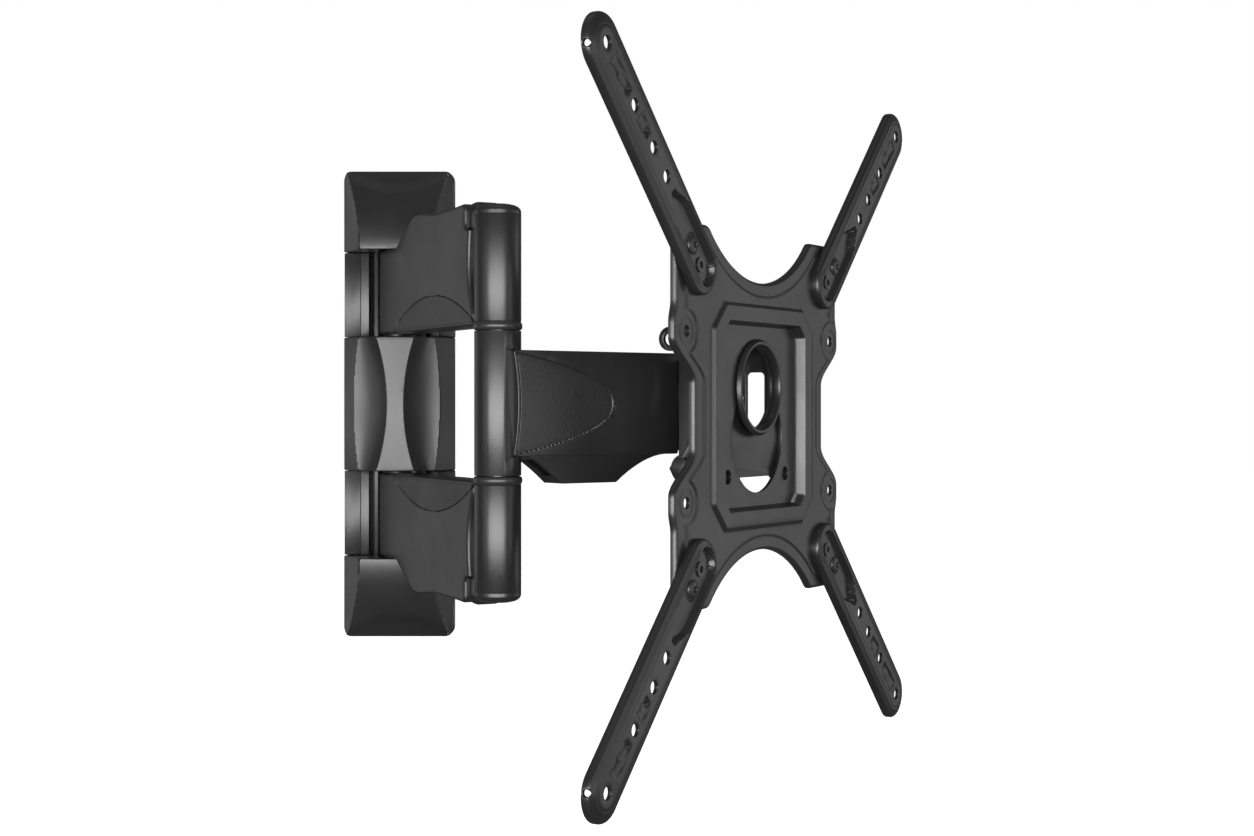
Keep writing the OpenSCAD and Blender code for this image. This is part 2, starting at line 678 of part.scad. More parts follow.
// drawn along local y, flat across local z
module screen_arm_shape() {
    r = arm_w / 2;
    difference() {
        along_x(arm_back, arm_face) stadium(arm_in, arm_out, r);
        along_x(arm_back - 1, arm_face - sheet) stadium(arm_in, arm_out, r - sheet);
        // sunk ribs between the holes
        along_x(arm_face - 0.9, arm_face + 1) {
            stadium(175 * diag + 6, 194 * diag - 6, 5);
            stadium(156 * diag + 4, 166 * diag - 4, 4.5);
        }
        along_x(arm_back - 1, arm_face + 1) stadium(86 * diag, 121 * diag, 8);
    }
    // sunk pad that is bolted down on the plate
    difference() {
        along_x(arm_back, arm_face - sheet) stadium(86 * diag, 121 * diag, 10.5);
        along_x(arm_back + sheet, arm_face) stadium(86 * diag, 121 * diag, 8);
    }
}

module screen_arm(su, sv) color(black) at_plate() scale([1, su, sv]) difference() {
    rotate([45, 0, 0]) screen_arm_shape();
    for (t = [rivet_t, bolt_t])
        translate([-10, t, t]) rotate([0, 90, 0]) cylinder(d = 6, h = 20);
    for (t = [135.4, vesa_mid, 170.7, vesa_far])
        translate([-10, t, t]) rotate([0, 90, 0]) cylinder(d = screen_hole, h = 20);
    translate([-2.6, vesa_far + 8, vesa_far]) rotate([-90, 0, 0]) cylinder(d = 6.4, h = 30);
}

module screen_arm_top_near() screen_arm(-1, 1);
module screen_arm_top_far() screen_arm(1, 1);
module screen_arm_bottom_near() screen_arm(-1, -1);
module screen_arm_bottom_far() screen_arm(1, -1);

module at_corners(t) at_plate() for (u = [-t, t], v = [-t, t])
    translate([0, u, v]) rotate([0, 90, 0]) children();

module arm_bolts() color(zinc) at_corners(bolt_t) {
    translate([0, 0, plate_back - 4.4]) cylinder(d = 6, h = arm_back + sheet - plate_back + 4.4);
    translate([0, 0, arm_back + sheet]) cylinder(d = 11.5, h = 2.6);
}

module arm_nuts() color(zinc) at_corners(bolt_t) translate([0, 0, plate_back - 4])
    difference() {
        cylinder(d = 11, h = 4, $fn = 6);
        translate([0, 0, -1]) cylinder(d = 6, h = 6);
    }

// hollow rivets, open right through
module arm_rivets() color(zinc) at_corners(rivet_t) difference() {
    union() {
        translate([0, 0, plate_back - 1]) cylinder(d = 6, h = arm_back + sheet - plate_back + 2);
        translate([0, 0, plate_back - 1]) cylinder(d = 9, h = 1);
        translate([0, 0, arm_back + sheet]) cylinder(d = 9, h = 1);
    }
    translate([0, 0, plate_back - 2]) cylinder(d = 4.4, h = 20);
}

wall_plate();
side_rails();
pivot_channel();
pivot_ears();
top_cap();
centre_cover();
bottom_cap();
wall_pivot_pins();
pivot_clips();
upper_arm_frame();
lower_arm_frame();
upper_arm_left_cover();
upper_arm_right_cover();
lower_arm_left_cover();
lower_arm_right_cover();
upper_arm_inlays();
lower_arm_inlays();
arm_bushes();
upper_post();
lower_post();
post_caps();
elbow_spindle();
elbow_rings();
elbow_barrel();
elbow_bushes();
outer_arm_beam();
outer_arm_front_cover();
outer_arm_back_cover();
outer_arm_inlay();
cable_cover();
head_barrel();
head_bushes();
head_pin();
head_pin_nut();
head_yoke();
tilt_bolt();
tilt_nut();
tilt_bracket();
tilt_washers();
hanger_plate();
level_collar();
level_screws();
screen_plate();
screen_arm_top_near();
screen_arm_top_far();
screen_arm_bottom_near();
screen_arm_bottom_far();
arm_bolts();
arm_rivets();
arm_nuts();
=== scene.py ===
import json
import math

import bpy
import bmesh
import numpy as np
from mathutils import Matrix, Vector
from mathutils.geometry import delaunay_2d_cdt


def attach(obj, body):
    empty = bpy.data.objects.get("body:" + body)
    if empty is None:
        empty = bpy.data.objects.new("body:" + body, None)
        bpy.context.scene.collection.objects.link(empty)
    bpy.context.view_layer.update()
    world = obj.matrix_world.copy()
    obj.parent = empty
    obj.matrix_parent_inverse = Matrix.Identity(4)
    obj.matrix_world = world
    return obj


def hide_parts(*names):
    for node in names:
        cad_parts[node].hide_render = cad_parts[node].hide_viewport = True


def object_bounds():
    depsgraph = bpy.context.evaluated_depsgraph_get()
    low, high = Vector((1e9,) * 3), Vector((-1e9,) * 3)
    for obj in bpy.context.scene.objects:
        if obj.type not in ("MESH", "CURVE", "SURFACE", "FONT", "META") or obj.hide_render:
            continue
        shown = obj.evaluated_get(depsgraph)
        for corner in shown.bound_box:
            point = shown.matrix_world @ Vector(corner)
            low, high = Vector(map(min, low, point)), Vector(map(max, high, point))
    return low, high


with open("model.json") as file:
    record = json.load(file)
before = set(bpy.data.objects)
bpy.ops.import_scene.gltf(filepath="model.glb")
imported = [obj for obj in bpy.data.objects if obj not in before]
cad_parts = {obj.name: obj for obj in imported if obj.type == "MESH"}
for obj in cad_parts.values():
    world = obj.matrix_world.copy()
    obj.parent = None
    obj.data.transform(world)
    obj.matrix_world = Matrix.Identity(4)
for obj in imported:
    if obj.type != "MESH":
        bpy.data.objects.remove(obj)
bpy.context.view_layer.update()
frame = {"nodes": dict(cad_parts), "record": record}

MM = 0.001
Z = Vector((0, 0, 1))

# ---------- where the bodies are, in millimetres ----------
joints = {j["name"]: j for j in frame["record"]["behaviour"]["joints"]}
pivot = Vector(joints["wall_swivel"]["pos_m"]) / MM
elbow = Vector(joints["elbow_swivel"]["pos_m"]) / MM
head = Vector(joints["head_swivel"]["pos_m"]) / MM
facing = Vector(joints["screen_level"]["axis"]).normalized()
sideways = Vector(joints["screen_tilt"]["axis"]).normalized()
screen_mount = [m for m in frame["record"]["mounts"] if m["name"] == "screen_holes_400"][0]
plate_mid = Vector(screen_mount["pos_m"]) / MM


def basis(origin, x, y, z):
    """A frame whose columns are x, y and z, in millimetres at origin, as a matrix into metres."""
    m = Matrix.Identity(4)
    for i, axis in enumerate((x, y, z)):
        for k in range(3):
            m[k][i] = axis[k] * MM
    for k in range(3):
        m[k][3] = origin[k] * MM
    return m


# a height map's own axes: a to one side, b up, c out of the front face
inner_along = (elbow - pivot).normalized()
inner_left = inner_along.cross(Z)
outer_along = (head - elbow).normalized()
outer_front = outer_along.cross(Z)
FRONT = Vector((0, -1, 0))
WALL = basis(Vector((0, 0, 0)), Vector((1, 0, 0)), Z, FRONT)
PLATE = basis(plate_mid, sideways, Z, facing)
OUTER_FRONT = basis(elbow, outer_along, Z, outer_front)
OUTER_BACK = basis(elbow, outer_along, Z, -outer_front)


def inner_side(level, side):
    """level 1 is the upper arm, side 1 the left cover."""
    return basis(pivot, inner_along, Z * level, inner_left * side)


# ---------- outlines, in millimetres ----------
def arc(cx, cy, r, a0, a1, n):
    """Points from angle a0 to a1, in degrees."""
    return [(cx + r * math.cos(math.radians(a0 + (a1 - a0) * i / n)),
             cy + r * math.sin(math.radians(a0 + (a1 - a0) * i / n))) for i in range(n + 1)]


def circle(cx, cy, r, n=40):
    return arc(cx, cy, r, 0, 360, n)[:-1]


def stadium(x0, x1, r, n=28):
    """Two half circles of radius r, about x0 and x1, and the sides between them."""
    return arc(x1, 0, r, -90, 90, n) + arc(x0, 0, r, 90, 270, n)


def filleted(points, radii, step=12):
    """A polygon with rounded corners. A radius of 0 keeps a corner sharp."""
    out = []
    count = len(points)
    if isinstance(radii, (int, float)):
        radii = [radii] * count
    for i in range(count):
        p, q, s = (Vector(points[k % count]) for k in (i - 1, i, i + 1))
        r = radii[i]
        d0, d1 = (p - q).normalized(), (s - q).normalized()
        angle = d0.angle(d1)
        if r <= 0 or angle > math.pi - 0.02:
            out.append(tuple(q))
            continue
        cut = min(r / math.tan(angle / 2), (p - q).length * 0.49, (s - q).length * 0.49)
        r = cut * math.tan(angle / 2)
        mid = q + (d0 + d1).normalized() * (r / math.sin(angle / 2))
        u, v = q + d0 * cut - mid, q + d1 * cut - mid
        turn = math.atan2(u.x * v.y - u.y * v.x, u.dot(v))
        n = max(2, int(abs(math.degrees(turn)) / step) + 1)
        for k in range(n + 1):
            a = turn * k / n
            out.append((mid.x + u.x * math.cos(a) - u.y * math.sin(a),
                        mid.y + u.x * math.sin(a) + u.y * math.cos(a)))
    return out


def dense(loop, step):
    """The same outline with no side longer than step."""
    out = []
    for i, p in enumerate(loop):
        q = loop[(i + 1) % len(loop)]
        n = max(1, int(math.dist(p, q) / step))
        out += [(p[0] + (q[0] - p[0]) * k / n, p[1] + (q[1] - p[1]) * k / n) for k in range(n)]
    return out


def area(loop):
    """Above 0 for a counter-clockwise outline."""
    return sum(p[0] * q[1] - q[0] * p[1] for p, q in zip(loop, loop[1:] + loop[:1])) / 2


def inset(loop, d):
    """A counter-clockwise outline moved inwards by d."""
    out = []
    for i, p in enumerate(loop):
        a = Vector(p) - Vector(loop[i - 1])
        b = Vector(loop[(i + 1) % len(loop)]) - Vector(p)
        a, b = a.normalized(), b.normalized()
        na, nb = Vector((-a.y, a.x)), Vector((-b.y, b.x))
        m = (na + nb) / max(0.4, 1 + na.dot(nb))
        out.append((p[0] + m.x * d, p[1] + m.y * d))
    return out


def inside(x, y, loop):
    """True where the points (x, y) are inside loop."""
    hit = np.zeros(x.shape, bool)
    for (x0, y0), (x1, y1) in zip(loop, loop[1:] + loop[:1]):
        if y0 == y1:
            continue
        cross = (y0 > y) != (y1 > y)
        hit ^= cross & (x < (x1 - x0) * (y - y0) / (y1 - y0) + x0)
    return hit


def near(x, y, loop, d):
    """True where the points are closer than d to the outline."""
    hit = np.zeros(x.shape, bool)
    for (x0, y0), (x1, y1) in zip(loop, loop[1:] + loop[:1]):
        dx, dy = x1 - x0, y1 - y0
        t = np.clip(((x - x0) * dx + (y - y0) * dy) / max(dx * dx + dy * dy, 1e-9), 0, 1)
        hit |= (x - x0 - t * dx) ** 2 + (y - y0 - t * dy) ** 2 < d * d
    return hit


def smooth(t):
    """From 0 to 1, level at both ends."""
    t = np.clip(t, 0, 1)
    return t * t * (3 - 2 * t)


# ---------- pressed and moulded pieces ----------
HOLE_ROUND = 0.4        # rounding at the rim of a hole
EDGE_STEPS, RIM_STEPS = 5, 3
BENT = 0.004            # where the face bends less than this, only the points of the coarse grid stay


def pressed(name, loop, height, place, holes=(), radius=1.0, thick=2.0, back=None,
            coarse=4.0, fine=1.0, warp=None):
    """A sheet whose front face is c = height(a, b) inside loop, rounded over at the edge.
    With back set, its sides go on back to c = back, as a hollow shell; without, it is a flat sheet.
    Its points lie on a grid, fine where the face bends and coarse elsewhere."""
    if area(loop) < 0:
        loop = loop[::-1]
    loop = dense(loop, max(fine * 2, 1.5))
    face = inset(loop, radius)
    holes = [h if area(h) > 0 else h[::-1] for h in holes]
    wide = [inset(h, -HOLE_ROUND) for h in holes]
    lo, hi = np.min(face, 0), np.max(face, 0)
    nx, ny = (int((hi[k] - lo[k]) / fine) + 1 for k in (0, 1))
    gx, gy = np.meshgrid(lo[0] + fine * (0.5 + np.arange(nx)), lo[1] + fine * (0.5 + np.arange(ny)))
    here = height(gx, gy)
    bend = np.zeros(here.shape)
    for dx, dy in ((1, 0), (0, 1), (1, 1), (1, -1)):
        ahead, behind = (height(gx + k * fine * dx, gy + k * fine * dy) for k in (1, -1))
        bend += abs(ahead + behind - 2 * here)
    every = max(1, round(coarse / fine))
    keep = bend > BENT
    keep[::every, ::every] = True
    x, y = gx[keep], gy[keep]
    ok = inside(x, y, face) & ~near(x, y, face, fine * 0.6)
    for w in wide:
        ok &= ~inside(x, y, w) & ~near(x, y, w, fine * 0.5)
    x, y = x[ok], y[ok]
    points = [Vector(p) for p in face]
    edges = [(i, (i + 1) % len(face)) for i in range(len(face))]
    for w in wide:
        n0 = len(points)
        points += [Vector(p) for p in w]
        edges += [(n0 + i, n0 + (i + 1) % len(w)) for i in range(len(w))]
    points += [Vector(p) for p in zip(x.tolist(), y.tolist())]
    flat, _, tris, _, _, _ = delaunay_2d_cdt(points, edges, [], 0, 1e-5, True)
    xy = np.array([tuple(p) for p in flat])
    mids = np.array([xy[list(t)].mean(0) for t in tris])
    use = inside(mids[:, 0], mids[:, 1], face)
    for w in wide:
        use &= ~inside(mids[:, 0], mids[:, 1], w)
    tris = [t for t, u in zip(tris, use) if u]
    bm = bmesh.new()
    top = [bm.verts.new((p[0], p[1], c)) for p, c in zip(xy, height(xy[:, 0], xy[:, 1]))]
    under = [bm.verts.new((v.co.x, v.co.y, v.co.z - thick)) for v in top]
    for t in tris:
        bm.faces.new([top[i] for i in t])
        bm.faces.new([under[i] for i in reversed(t)])

    def ring(path, cs):
        return [bm.verts.new((p[0], p[1], c)) for p, c in zip(path, cs)]

    def skin(a, b):
        for i in range(len(a)):
            j = (i + 1) % len(a)
            bm.faces.new((a[i], a[j], b[j], b[i]))

    def found(path, verts):
        spots = {}
        for v in verts:
            spots.setdefault((round(v.co.x, 2), round(v.co.y, 2)), v)
        return [spots[min(spots, key=lambda s: (s[0] - p[0]) ** 2 + (s[1] - p[1]) ** 2)] for p in path]

    def edge(start, path, r, drop_to, sign):
        """Rings from start, round the edge, down to the heights drop_to."""
        last = start
        base = [v.co.z for v in start]
        for k in range(1, EDGE_STEPS + 1):
            a = math.pi / 2 * k / EDGE_STEPS
            now = ring(inset(path, r * (1 - math.sin(a))),
                       [c - sign * r * (1 - math.cos(a)) for c in base])
            skin(last, now)
            last = now
        if drop_to is not None:
            now = ring(path, drop_to)
            skin(last, now)
            last = now
        return last

    top_ring, under_ring = found(face, top), found(face, under)
    if back is None:
        r = min(radius, thick / 2)
        a = edge(top_ring, inset(loop, radius - r), r, None, 1)
        b = edge(under_ring, inset(loop, radius - r), r, None, -1)
        skin(a, b)
    else:
        a = edge(top_ring, loop, radius, [back] * len(loop), 1)
        b = edge(under_ring, inset(loop, thick), radius - thick, [back] * len(loop), 1)
        skin(a, b)
    for true, w in zip(holes, wide):
        a, b = found(w, top), found(w, under)
        for k in range(1, RIM_STEPS + 1):
            t = math.pi / 2 * k / RIM_STEPS
            path = inset(true, -HOLE_ROUND * (1 - math.sin(t)))
            now = ring(path, [v.co.z for v in found(w, top)])
            for v in now:
                v.co.z -= HOLE_ROUND * (1 - math.cos(t))
            skin(a, now)
            a = now
        skin(a, b)
    if warp:
        for v in bm.verts:
            v.co = warp(v.co)
    bmesh.ops.recalc_face_normals(bm, faces=bm.faces)
    bm.transform(place)
    if place.determinant() < 0:
        bmesh.ops.reverse_faces(bm, faces=bm.faces)
    return finished(name, bm)


SHARP = 32              # degrees between faces, above which an edge isn't smoothed


def finished(name, bm):
    """The bmesh as an object, smooth but for its sharp edges."""
    mesh = bpy.data.meshes.new(name)
    bm.to_mesh(mesh)
    bm.free()
    mesh.shade_smooth()
    mesh.set_sharp_from_angle(angle=math.radians(SHARP))
    obj = bpy.data.objects.new(name, mesh)
    bpy.context.collection.objects.link(obj)
    return obj


def lathe(profile, n):
    """A closed turned shape about local z from (radius, z) points, in millimetres."""
    bm = bmesh.new()
    rings = []
    for r, z in profile:
        if r < 1e-6:
            rings.append([bm.verts.new((0, 0, z))])
        else:
            turns = [2 * math.pi * k / n for k in range(n)]
            rings.append([bm.verts.new((r * math.cos(a), r * math.sin(a), z)) for a in turns])
    for a, b in zip(rings, rings[1:]):
        for k in range(n):
            j = (k + 1) % n
            if len(a) == 1 and len(b) > 1:
                bm.faces.new((a[0], b[j], b[k]))
            elif len(b) == 1 and len(a) > 1:
                bm.faces.new((a[k], a[j], b[0]))
            elif len(a) > 1:
                bm.faces.new((a[k], a[j], b[j], b[k]))
    return bm


def punch(obj, place, r, depth):
    """Cuts a round hole through obj, along local z."""
    bm = bmesh.new()
    bmesh.ops.create_cone(bm, cap_ends=True, segments=32, radius1=r, radius2=r, depth=2 * depth)
    bm.transform(place)
    if place.determinant() < 0:
        bmesh.ops.reverse_faces(bm, faces=bm.faces)
    cut(obj, bm)


def cut(obj, bm):
    """Takes the solid bm away from obj."""
    tool = finished("tool", bm)
    mod = obj.modifiers.new("cut", "BOOLEAN")
    mod.operation = "DIFFERENCE"
    mod.solver = "EXACT"
    mod.object = tool
    graph = bpy.context.evaluated_depsgraph_get()
    mesh = bpy.data.meshes.new_from_object(obj.evaluated_get(graph))
    obj.modifiers.remove(mod)
    old = obj.data
    obj.data = mesh
    mesh.name = obj.name
    bpy.data.meshes.remove(old)
    bpy.data.objects.remove(tool)


def box(lo, hi):
    """A box between two corners."""
    bm = bmesh.new()
    bmesh.ops.create_cube(bm, size=1.0)
    for v in bm.verts:
        v.co = Vector([lo[k] if v.co[k] < 0 else hi[k] for k in range(3)])
    return bm


def merged(name, objs):
    """One object made of several."""
    parts = bmesh.new()
    for o in objs:
        parts.from_mesh(o.data)
        bpy.data.objects.remove(o)
    return finished(name, parts)


# ---------- materials ----------
def noise(nodes, links, coords, scale, detail, rough):
    n = nodes.new("ShaderNodeTexNoise")
    n.inputs["Scale"].default_value = scale
    n.inputs["Detail"].default_value = detail
    n.inputs["Roughness"].default_value = rough
    links.new(coords, n.inputs["Vector"])
    return n.outputs["Fac"]


def spread(nodes, links, value, lo, hi, out_lo, out_hi):
    """The value's stretch from lo to hi, mapped onto out_lo to out_hi."""
    m = nodes.new("ShaderNodeMapRange")
    for key, v in (("From Min", lo), ("From Max", hi), ("To Min", out_lo), ("To Max", out_hi)):
        m.inputs[key].default_value = v
    links.new(value, m.inputs["Value"])
    return m.outputs["Result"]


CLOUDS, PATCHES, SCUFFS = 9.0, 23.0, 55.0     # noise scales of the colour, the roughness and the wear
CELL_WARP, CELL_WARP_SCALE = 0.0015, 260.0    # how the leather grain's cells are bent out of round


def surface(name, dark, light, rough, grain, depth, metallic=0.0, wear=0.0, leather=False):
    """rough is (least, most); grain is the size of the surface bumps and depth their height, in mm."""
    mat = bpy.data.materials.new(name)
    mat.use_nodes = True
    nodes, links = mat.node_tree.nodes, mat.node_tree.links
    shader = nodes["Principled BSDF"]
    coords = nodes.new("ShaderNodeTexCoord").outputs["Object"]
    cloudy = noise(nodes, links, coords, CLOUDS, 4.0, 0.6)
    ramp = nodes.new("ShaderNodeMix")
    ramp.data_type = "RGBA"
    links.new(spread(nodes, links, cloudy, 0.35, 0.65, 0.0, 1.0), ramp.inputs["Factor"])
    ramp.inputs["A"].default_value = (*dark, 1)
    ramp.inputs["B"].default_value = (*light, 1)
    colour = ramp.outputs["Result"]
    fine = noise(nodes, links, coords, 1 / (grain * MM), 2.0, 0.5)
    if wear > 0:
        scuff = spread(nodes, links, noise(nodes, links, coords, SCUFFS, 6.0, 0.75), 0.66, 0.78, 0.0, wear)
        worn = nodes.new("ShaderNodeMix")
        worn.data_type = "RGBA"
        links.new(scuff, worn.inputs["Factor"])
        links.new(colour, worn.inputs["A"])
        worn.inputs["B"].default_value = (*[min(1.0, c * 2.2 + 0.01) for c in light], 1)
        colour = worn.outputs["Result"]
    links.new(colour, shader.inputs["Base Color"])
    patchy = noise(nodes, links, coords, PATCHES, 5.0, 0.6)
    links.new(spread(nodes, links, patchy, 0.3, 0.7, *rough), shader.inputs["Roughness"])
    bump = nodes.new("ShaderNodeBump")
    bump.inputs["Strength"].default_value = 1.0
    bump.inputs["Distance"].default_value = depth * MM
    if leather:
        cells = nodes.new("ShaderNodeTexVoronoi")
        cells.feature = "SMOOTH_F1"
        cells.inputs["Scale"].default_value = 1 / (grain * 2.2 * MM)
        warp = nodes.new("ShaderNodeMixRGB")
        warp.blend_type = "ADD"
        warp.inputs["Fac"].default_value = CELL_WARP
        links.new(coords, warp.inputs["Color1"])
        links.new(noise(nodes, links, coords, CELL_WARP_SCALE, 2.0, 0.5), warp.inputs["Color2"])
        links.new(warp.outputs["Color"], cells.inputs["Vector"])
        links.new(cells.outputs["Distance"], bump.inputs["Height"])
    else:
        links.new(fine, bump.inputs["Height"])
    links.new(bump.outputs["Normal"], shader.inputs["Normal"])
    shader.inputs["Metallic"].default_value = metallic
    return mat


FINISH = {name: surface(name, **look) for name, look in {
    "black_steel": dict(dark=(0.010, 0.010, 0.0105), light=(0.014, 0.014, 0.0145), rough=(0.27, 0.36),
                        grain=0.5, depth=0.02, wear=0.04),
    "black_plastic": dict(dark=(0.011, 0.011, 0.0115), light=(0.015, 0.015, 0.0155), rough=(0.31, 0.40),
                          grain=0.4, depth=0.015),
    "grained_plastic": dict(dark=(0.012, 0.012, 0.0125), light=(0.017, 0.017, 0.0175), rough=(0.36, 0.46),
                            grain=0.7, depth=0.14, leather=True),
    "nylon": dict(dark=(0.016, 0.016, 0.0165), light=(0.022, 0.022, 0.0225), rough=(0.30, 0.38),
                  grain=0.5, depth=0.02),
    "zinc_steel": dict(dark=(0.36, 0.36, 0.37), light=(0.46, 0.46, 0.46), rough=(0.28, 0.42),
                       grain=0.35, depth=0.02, metallic=1.0, wear=0.1),
    "dark_fasteners": dict(dark=(0.016, 0.016, 0.0165), light=(0.022, 0.022, 0.023), rough=(0.26, 0.34),
                           grain=0.4, depth=0.02, wear=0.1),
}.items()}
node_slot = {p["node"]: p["material_slot"] for p in frame["record"]["subparts"]}
node_body = {n: b for b, ns in frame["record"]["behaviour"]["bodies"].items() for n in ns}


def dress(obj, material):
    obj.data.materials.clear()
    obj.data.materials.append(FINISH[material])


def put(obj, *nodes):
    """The finished piece stands for these CAD nodes."""
    slot = node_slot[nodes[0]]
    dress(obj, slot)
    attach(obj, node_body[nodes[0]])
    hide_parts(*nodes)
    return obj


# ---------- CAD nodes that stay: their own material, and rounded edges ----------
def soften(obj, width):
    """Joins the triangles of each flat face, then rounds the edges."""
    weld = obj.modifiers.new("weld", "WELD")
    weld.merge_threshold = 0.001 * MM
    flat = obj.modifiers.new("flat", "DECIMATE")
    flat.decimate_type = "DISSOLVE"
    flat.angle_limit = math.radians(0.5)
    bevel = obj.modifiers.new("bevel", "BEVEL")
    bevel.width = width * MM
    bevel.segments = 2
    bevel.limit_method = "ANGLE"
    bevel.angle_limit = math.radians(38)
    bevel.use_clamp_overlap = True
    obj.data.shade_smooth()
    obj.data.set_sharp_from_angle(angle=math.radians(24))


for name, obj in frame["nodes"].items():
    dress(obj, node_slot[name])
# radius of the rounded edges in mm
ROUNDED = {
    "wall_plate": 0.5, "side_rails": 0.5, "pivot_channel": 0.7, "pivot_ears": 0.5, "wall_pivot_pins": 0.6,
    "upper_arm_frame": 0.6, "lower_arm_frame": 0.4, "upper_post": 0.12, "lower_post": 0.12,
    "elbow_rings": 0.4, "elbow_barrel": 0.2, "outer_arm_beam": 0.6, "cable_cover": 0.7, "head_barrel": 0.5,
    "head_yoke": 0.6, "head_pin": 0.5, "head_pin_nut": 0.4, "tilt_bolt": 0.5, "tilt_nut": 0.4,
    "tilt_bracket": 0.6, "hanger_plate": 0.5, "level_collar": 0.6,
}
for name, width in ROUNDED.items():
    soften(frame["nodes"][name], width)

# ---------- screen arms ----------
ROOT2 = math.sqrt(2)
ARM_HALF = 16.75                                # half width of an arm
ARM_BACK, ARM_FACE = -5.25, 1.25
SHEET = 2.5
# the places below are distances from the plate's middle, to the side and up alike
INNER_TIP, OUTER_HOLE = 76.0, 200.0
ARM_START, ARM_END = INNER_TIP * ROOT2 + ARM_HALF, OUTER_HOLE * ROOT2
PAD_START, PAD_END, PAD_FADE = 86.0, 128.5, 13.0
PAD_DEPTH = ARM_FACE - SHEET - ARM_BACK         # the pad lies on the plate
BOLT_T, RIVET_T = 100.0, 89.0
SCREEN_HOLES = (135.4, 150.0, 170.7, OUTER_HOLE)
RIBS = ((176.0, 194.0), (155.6, 166.0))
SHOULDER = 9.8                                  # half width of an arm's flat face
SIDE_HOLE = (200 + 14.6, 197.5, -2.4)           # small hole through an arm's outer side wall


def panel(a, b, a0, a1, w0, w1, slope):
    """1 inside a panel from a0 to a1 that is w0 wide at a0 and w1 at a1, 0 outside, with sloping sides."""
    t = np.clip((a - a0) / (a1 - a0), 0, 1)
    half = w0 + (w1 - w0) * t
    gap = np.maximum(np.abs(b) - half, np.maximum(a0 - a, a - a1))
    return 1 - smooth((gap + slope) / slope)


def arm_height(a, b):
    """Flat middle, a fine groove, then shoulders that slope away; ribs with a dent, and the sunk pad."""
    end = np.clip(a, ARM_START, ARM_END)
    off = np.hypot(a - end, b)
    groove = np.exp(-((off - 9.7) / 0.7) ** 2)
    h = ARM_FACE - 1.6 * np.clip((off - SHOULDER) / 4.6, 0, 1) - 0.45 * groove
    for t0, t1 in RIBS:
        h = h - 1.0 * panel(a, b, t0 * ROOT2, t1 * ROOT2, 3.4, 5.2, 1.4)
        dent = np.hypot(a - (t0 + 2.4) * ROOT2, b - 0.6)
        h = h - 1.3 * np.clip(1 - dent / 2.2, 0, 1)
    half = 3.0 + 7.6 * smooth((PAD_END * ROOT2 - a) / (PAD_FADE * ROOT2))
    along = np.clip(a - PAD_START * ROOT2, None, 0)
    gap = np.maximum(np.hypot(along, b) - half, a - PAD_END * ROOT2)
    h = h - PAD_DEPTH * (1 - smooth((gap + 3.2) / 3.2))
    bolt = np.hypot(a - BOLT_T * ROOT2, b)
    return h + 0.5 * (1 - smooth((bolt - 6.2) / 1.0)) * (a < 122 * ROOT2)


def screen_arm(name, su, sv):
    """su and sv are 1 or -1: the arm's side of the plate's middle, and up or down."""
    quarter = basis(plate_mid, sideways * su, Z * sv, facing)
    along = Matrix.Rotation(math.radians(45), 4, "Z")
    holes = [circle(t * ROOT2, 0, 3.7, 36) for t in SCREEN_HOLES]
    holes.append(circle(RIVET_T * ROOT2, 0, 3.0, 24))
    obj = pressed(name, stadium(ARM_START, ARM_END, ARM_HALF), arm_height, quarter @ along, holes,
                  radius=2.6, thick=SHEET, back=ARM_BACK, coarse=4, fine=0.9)
    sideways_in = Matrix.Translation(SIDE_HOLE) @ Matrix.Rotation(math.pi / 2, 4, "Y")
    punch(obj, quarter @ sideways_in, 2.1, 4)
    return obj


for name, su, sv in (("screen_arm_top_near", -1, 1), ("screen_arm_top_far", 1, 1),
                     ("screen_arm_bottom_near", -1, -1), ("screen_arm_bottom_far", 1, -1)):
    put(screen_arm("pressed_" + name, su, sv), name)

# ---------- screen plate ----------
PLATE_HALF = 114.0
PLATE_FRONT = -5.25
FLOOR = -9.9                                    # the sunk middle
FLOOR_BOX = (54.4, 57.0, 6.0)                   # half width, half height and cut corner
RIDGE_BOX, RIDGE_RISE = (68.6, 68.0, 15.0), 2.15
TOP_R, TOP_V = 96.7, 83.5                       # the scoop in the top edge, and its lowest point
NOTCH_U, NOTCH_V, FLAT_V = 89.0, 46.0, 20.0     # the waist
COLLAR_V = 18.2
SIDE_U, SIDE_V = 100, 50                        # the four side holes
SCREW_U, SCREW_V = 40, -37                      # the two screw holes


def side_edge(v):
    """Half width of the plate at height v: a waist, a lobe about the side hole, then a little less."""
    waist = NOTCH_U + (PLATE_HALF - NOTCH_U) * smooth((v - FLAT_V) / (NOTCH_V - FLAT_V))
    return waist - 2.6 * smooth((v - 55) / 12)


def plate_quarter():
    """One quarter of the outline, from the right edge up to the top edge."""
    right = [(side_edge(v), v) for v in np.linspace(0, 80, 40)]
    low = math.degrees(math.acos((TOP_V + TOP_R - PLATE_HALF) / TOP_R))
    top = arc(0, TOP_V + TOP_R, TOP_R, -90 + low, -90, 30)
    corner = filleted([right[-1], (right[-1][0], PLATE_HALF), top[0], top[3]], [0, 15, 8, 0])
    return right + corner[1:-1] + top[3:]


def four_ways(quarter):
    """The whole outline from one quarter, mirrored sideways and downwards."""
    half = quarter + [(-u, v) for u, v in quarter[::-1][1:]]
    return half + [(u, -v) for u, v in half[::-1][1:-1]]


def box_gap(a, b, u, v, c):
    """Distance outside a box with cut corners, about."""
    return np.maximum(np.maximum(np.abs(a) - u, np.abs(b) - v), (np.abs(a) + np.abs(b) - (u + v - c)) / ROOT2)


